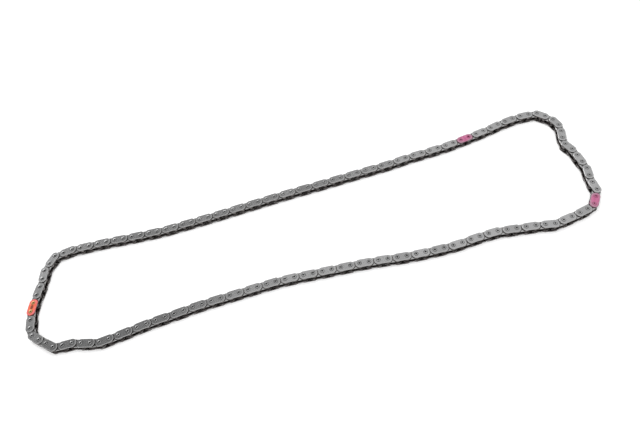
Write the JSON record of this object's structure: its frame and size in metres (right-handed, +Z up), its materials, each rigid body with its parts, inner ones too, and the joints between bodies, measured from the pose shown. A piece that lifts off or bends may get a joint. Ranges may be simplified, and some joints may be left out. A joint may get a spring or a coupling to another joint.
{
  "type": "timing chain",
  "caption": "Endless single-strand bush chain of steel plates, pins and bushes, with painted timing plates; it drives camshafts from the crankshaft.",
  "frame": {"origin": "under the middle of the loop's bounding box, on the surface that the lower pin ends rest on", "axes": "+X along the loop's long side, +Y across the loop, +Z up, along the pins, towards the painted faces"},
  "size_m": [0.5116, 0.1279, 0.008],
  "materials": {
    "plate_steel": "tumbled, matt grey",
    "pin_steel": "ground, riveted ends",
    "bush_steel": "dark, oiled",
    "orange_paint": "thin orange-red paint",
    "magenta_paint": "thin magenta paint"
  },
  "bodies": {
    "orange_mark_link": {"orange_mark_plate": "orange_paint", "orange_mark_lower_plate": "plate_steel", "orange_mark_pin_1": "pin_steel", "orange_mark_pin_2": "pin_steel"},
    "inner_link_after_orange": {"inner_after_orange_upper_plate": "plate_steel", "inner_after_orange_lower_plate": "plate_steel", "inner_after_orange_bush_1": "bush_steel", "inner_after_orange_bush_2": "bush_steel"},
    "left_outer_link_2": {"left_outer_link_2": "plate_steel"},
    "left_run": {"left_run": "plate_steel"},
    "left_outer_link_3": {"left_outer_link_3": "plate_steel"},
    "top_run_1": {"top_run_1": "plate_steel"},
    "top_run_2": {"top_run_2": "plate_steel"},
    "top_run_3": {"top_run_3": "plate_steel"},
    "top_run_4": {"top_run_4": "plate_steel"},
    "top_run_5": {"top_run_5": "plate_steel"},
    "top_run_6": {"top_run_6": "plate_steel"},
    "inner_link_before_top_mark": {"inner_before_top_mark_upper_plate": "plate_steel", "inner_before_top_mark_lower_plate": "plate_steel", "inner_before_top_mark_bush_1": "bush_steel", "inner_before_top_mark_bush_2": "bush_steel"},
    "top_mark_link": {"top_mark_plate": "magenta_paint", "top_mark_lower_plate": "plate_steel", "top_mark_pin_1": "pin_steel", "top_mark_pin_2": "pin_steel"},
    "inner_link_after_top_mark": {"inner_after_top_mark_upper_plate": "plate_steel", "inner_after_top_mark_lower_plate": "plate_steel", "inner_after_top_mark_bush_1": "bush_steel", "inner_after_top_mark_bush_2": "bush_steel"},
    "top_run_7": {"top_run_7": "plate_steel"},
    "right_corner_run": {"right_corner_run": "plate_steel"},
    "right_outer_link_1": {"right_outer_link_1": "plate_steel"},
    "right_run": {"right_run": "plate_steel"},
    "right_outer_link_2": {"right_outer_link_2": "plate_steel"},
    "right_inner_link": {"right_inner_link": "plate_steel"},
    "right_outer_link_3": {"right_outer_link_3": "plate_steel"},
    "inner_link_before_right_mark": {"inner_before_right_mark_upper_plate": "plate_steel", "inner_before_right_mark_lower_plate": "plate_steel", "inner_before_right_mark_bush_1": "bush_steel", "inner_before_right_mark_bush_2": "bush_steel"},
    "right_mark_link": {"right_mark_plate": "magenta_paint", "right_mark_lower_plate": "plate_steel", "right_mark_pin_1": "pin_steel", "right_mark_pin_2": "pin_steel"},
    "inner_link_after_right_mark": {"inner_link_after_right_mark": "plate_steel"},
    "bottom_run_1": {"bottom_run_1": "plate_steel"},
    "bottom_run_2": {"bottom_run_2": "plate_steel"},
    "bottom_run_3": {"bottom_run_3": "plate_steel"},
    "bottom_run_4": {"bottom_run_4": "plate_steel"},
    "bottom_run_5": {"bottom_run_5": "plate_steel"},
    "bottom_run_6": {"bottom_run_6": "plate_steel"},
    "bottom_run_7": {"bottom_run_7": "plate_steel"},
    "bottom_run_8": {"bottom_run_8": "plate_steel"},
    "bottom_outer_link": {"bottom_outer_link": "plate_steel"},
    "left_corner_run": {"left_corner_run": "plate_steel"},
    "left_outer_link_1": {"left_outer_link_1": "plate_steel"},
    "inner_link_before_orange": {"inner_before_orange_upper_plate": "plate_steel", "inner_before_orange_lower_plate": "plate_steel", "inner_before_orange_bush_1": "bush_steel", "inner_before_orange_bush_2": "bush_steel"}
  },
  "joints": [
    {"name": "pin_050_turn", "type": "hinge", "parent": "top_run_5", "child": "top_run_6", "pos_m": [0.11346, 0.05186, 0.004], "axis": [0, 0, 1], "range_deg": [-45, 45]},
    {"name": "pin_055_turn", "type": "hinge", "parent": "top_run_6", "child": "inner_link_before_top_mark", "pos_m": [0.15344, 0.05252, 0.004], "axis": [0, 0, 1], "range_deg": [-45, 45]},
    {"name": "pin_056_turn", "type": "hinge", "parent": "inner_link_before_top_mark", "child": "top_mark_link", "pos_m": [0.1614, 0.05329, 0.004], "axis": [0, 0, 1], "range_deg": [-45, 45]},
    {"name": "pin_057_turn", "type": "hinge", "parent": "top_mark_link", "child": "inner_link_after_top_mark", "pos_m": [0.16937, 0.05406, 0.004], "axis": [0, 0, 1], "range_deg": [-45, 45]},
    {"name": "pin_058_turn", "type": "hinge", "parent": "inner_link_after_top_mark", "child": "top_run_7", "pos_m": [0.17731, 0.05496, 0.004], "axis": [0, 0, 1], "range_deg": [-45, 45]},
    {"name": "pin_061_turn", "type": "hinge", "parent": "top_run_7", "child": "right_corner_run", "pos_m": [0.20104, 0.0585, 0.004], "axis": [0, 0, 1], "range_deg": [-45, 45]},
    {"name": "pin_070_turn", "type": "hinge", "parent": "right_corner_run", "child": "right_outer_link_1", "pos_m": [0.25048, 0.02966, 0.004], "axis": [0, 0, 1], "range_deg": [-45, 45]},
    {"name": "pin_071_turn", "type": "hinge", "parent": "right_outer_link_1", "child": "right_run", "pos_m": [0.24762, 0.02219, 0.004], "axis": [0, 0, 1], "range_deg": [-45, 45]},
    {"name": "pin_076_turn", "type": "hinge", "parent": "right_run", "child": "right_outer_link_2", "pos_m": [0.24955, -0.0172, 0.004], "axis": [0, 0, 1], "range_deg": [-45, 45]},
    {"name": "pin_077_turn", "type": "hinge", "parent": "right_outer_link_2", "child": "right_inner_link", "pos_m": [0.24734, -0.02489, 0.004], "axis": [0, 0, 1], "range_deg": [-45, 45]},
    {"name": "pin_078_turn", "type": "hinge", "parent": "right_inner_link", "child": "right_outer_link_3", "pos_m": [0.24586, -0.03275, 0.004], "axis": [0, 0, 1], "range_deg": [-45, 45]},
    {"name": "pin_079_turn", "type": "hinge", "parent": "right_outer_link_3", "child": "inner_link_before_right_mark", "pos_m": [0.24544, -0.04074, 0.004], "axis": [0, 0, 1], "range_deg": [-45, 45]},
    {"name": "pin_080_turn", "type": "hinge", "parent": "inner_link_before_right_mark", "child": "right_mark_link", "pos_m": [0.24065, -0.04715, 0.004], "axis": [0, 0, 1], "range_deg": [-45, 45]},
    {"name": "pin_081_turn", "type": "hinge", "parent": "right_mark_link", "child": "inner_link_after_right_mark", "pos_m": [0.23556, -0.05332, 0.004], "axis": [0, 0, 1], "range_deg": [-45, 45]},
    {"name": "pin_082_turn", "type": "hinge", "parent": "inner_link_after_right_mark", "child": "bottom_run_1", "pos_m": [0.22804, -0.05606, 0.004], "axis": [0, 0, 1], "range_deg": [-45, 45]},
    {"name": "pin_085_turn", "type": "hinge", "parent": "bottom_run_1", "child": "bottom_run_2", "pos_m": [0.20431, -0.0596, 0.004], "axis": [0, 0, 1], "range_deg": [-45, 45]},
    {"name": "pin_092_turn", "type": "hinge", "parent": "bottom_run_2", "child": "bottom_run_3", "pos_m": [0.14926, -0.05104, 0.004], "axis": [0, 0, 1], "range_deg": [-45, 45]},
    {"name": "pin_097_turn", "type": "hinge", "parent": "bottom_run_3", "child": "bottom_run_4", "pos_m": [0.10928, -0.0517, 0.004], "axis": [0, 0, 1], "range_deg": [-45, 45]},
    {"name": "pin_031_turn", "type": "hinge", "parent": "top_run_5", "child": "top_run_4", "pos_m": [-0.03851, 0.05168, 0.004], "axis": [0, 0, 1], "range_deg": [-45, 45]},
    {"name": "pin_022_turn", "type": "hinge", "parent": "top_run_4", "child": "top_run_3", "pos_m": [-0.1105, 0.05154, 0.004], "axis": [0, 0, 1], "range_deg": [-45, 45]},
    {"name": "pin_019_turn", "type": "hinge", "parent": "top_run_3", "child": "top_run_2", "pos_m": [-0.13448, 0.05218, 0.004], "axis": [0, 0, 1], "range_deg": [-45, 45]},
    {"name": "pin_012_turn", "type": "hinge", "parent": "top_run_2", "child": "top_run_1", "pos_m": [-0.19015, 0.0583, 0.004], "axis": [0, 0, 1], "range_deg": [-45, 45]},
    {"name": "pin_007_turn", "type": "hinge", "parent": "top_run_1", "child": "left_outer_link_3", "pos_m": [-0.22998, 0.05854, 0.004], "axis": [0, 0, 1], "range_deg": [-45, 45]},
    {"name": "pin_006_turn", "type": "hinge", "parent": "left_outer_link_3", "child": "left_run", "pos_m": [-0.23507, 0.05237, 0.004], "axis": [0, 0, 1], "range_deg": [-45, 45]},
    {"name": "pin_003_turn", "type": "hinge", "parent": "left_run", "child": "left_outer_link_2", "pos_m": [-0.24366, 0.03029, 0.004], "axis": [0, 0, 1], "range_deg": [-45, 45]},
    {"name": "pin_002_turn", "type": "hinge", "parent": "left_outer_link_2", "child": "inner_link_after_orange", "pos_m": [-0.24652, 0.02282, 0.004], "axis": [0, 0, 1], "range_deg": [-45, 45]},
    {"name": "pin_001_turn", "type": "hinge", "parent": "inner_link_after_orange", "child": "orange_mark_link", "pos_m": [-0.2493, 0.01532, 0.004], "axis": [0, 0, 1], "range_deg": [-45, 45]},
    {"name": "pin_000_turn", "type": "hinge", "parent": "orange_mark_link", "child": "inner_link_before_orange", "pos_m": [-0.2515, 0.00763, 0.004], "axis": [0, 0, 1], "range_deg": [-45, 45]},
    {"name": "pin_145_turn", "type": "hinge", "parent": "inner_link_before_orange", "child": "left_outer_link_1", "pos_m": [-0.25169, -0.00037, 0.004], "axis": [0, 0, 1], "range_deg": [-45, 45]},
    {"name": "pin_144_turn", "type": "hinge", "parent": "left_outer_link_1", "child": "left_corner_run", "pos_m": [-0.2521, -0.00836, 0.004], "axis": [0, 0, 1], "range_deg": [-45, 45]},
    {"name": "pin_131_turn", "type": "hinge", "parent": "left_corner_run", "child": "bottom_outer_link", "pos_m": [-0.16159, -0.03787, 0.004], "axis": [0, 0, 1], "range_deg": [-45, 45]},
    {"name": "pin_130_turn", "type": "hinge", "parent": "bottom_outer_link", "child": "bottom_run_8", "pos_m": [-0.15363, -0.0371, 0.004], "axis": [0, 0, 1], "range_deg": [-45, 45]},
    {"name": "pin_125_turn", "type": "hinge", "parent": "bottom_run_8", "child": "bottom_run_7", "pos_m": [-0.11369, -0.03497, 0.004], "axis": [0, 0, 1], "range_deg": [-45, 45]},
    {"name": "pin_116_turn", "type": "hinge", "parent": "bottom_run_7", "child": "bottom_run_6", "pos_m": [-0.04169, -0.03483, 0.004], "axis": [0, 0, 1], "range_deg": [-45, 45]},
    {"name": "pin_113_turn", "type": "hinge", "parent": "bottom_run_6", "child": "bottom_run_5", "pos_m": [-0.01778, -0.03685, 0.004], "axis": [0, 0, 1], "range_deg": [-45, 45]}
  ],
  "couplings": [
    {"joint": "pin_000_turn", "follows": "pin_001_turn", "ratio": -1},
    {"joint": "pin_076_turn", "follows": "pin_001_turn", "ratio": 1},
    {"joint": "pin_077_turn", "follows": "pin_001_turn", "ratio": -1},
    {"joint": "pin_002_turn", "follows": "pin_003_turn", "ratio": -1},
    {"joint": "pin_070_turn", "follows": "pin_003_turn", "ratio": 1},
    {"joint": "pin_071_turn", "follows": "pin_003_turn", "ratio": -1},
    {"joint": "pin_006_turn", "follows": "pin_007_turn", "ratio": -1},
    {"joint": "pin_080_turn", "follows": "pin_007_turn", "ratio": 1},
    {"joint": "pin_081_turn", "follows": "pin_007_turn", "ratio": -1},
    {"joint": "pin_012_turn", "follows": "pin_019_turn", "ratio": -1},
    {"joint": "pin_113_turn", "follows": "pin_019_turn", "ratio": 1},
    {"joint": "pin_022_turn", "follows": "pin_031_turn", "ratio": -1},
    {"joint": "pin_125_turn", "follows": "pin_031_turn", "ratio": 1},
    {"joint": "pin_116_turn", "follows": "pin_031_turn", "ratio": -1},
    {"joint": "pin_057_turn", "follows": "pin_056_turn", "ratio": -1},
    {"joint": "pin_131_turn", "follows": "pin_056_turn", "ratio": 1},
    {"joint": "pin_130_turn", "follows": "pin_056_turn", "ratio": -1},
    {"joint": "pin_061_turn", "follows": "pin_058_turn", "ratio": -1},
    {"joint": "pin_082_turn", "follows": "pin_058_turn", "ratio": 1},
    {"joint": "pin_085_turn", "follows": "pin_058_turn", "ratio": -1},
    {"joint": "pin_050_turn", "follows": "pin_055_turn", "ratio": -1},
    {"joint": "pin_092_turn", "follows": "pin_055_turn", "ratio": -1},
    {"joint": "pin_097_turn", "follows": "pin_055_turn", "ratio": 1},
    {"joint": "pin_145_turn", "follows": "pin_144_turn", "ratio": -1},
    {"joint": "pin_078_turn", "follows": "pin_144_turn", "ratio": -1},
    {"joint": "pin_079_turn", "follows": "pin_144_turn", "ratio": 1}
  ]
}
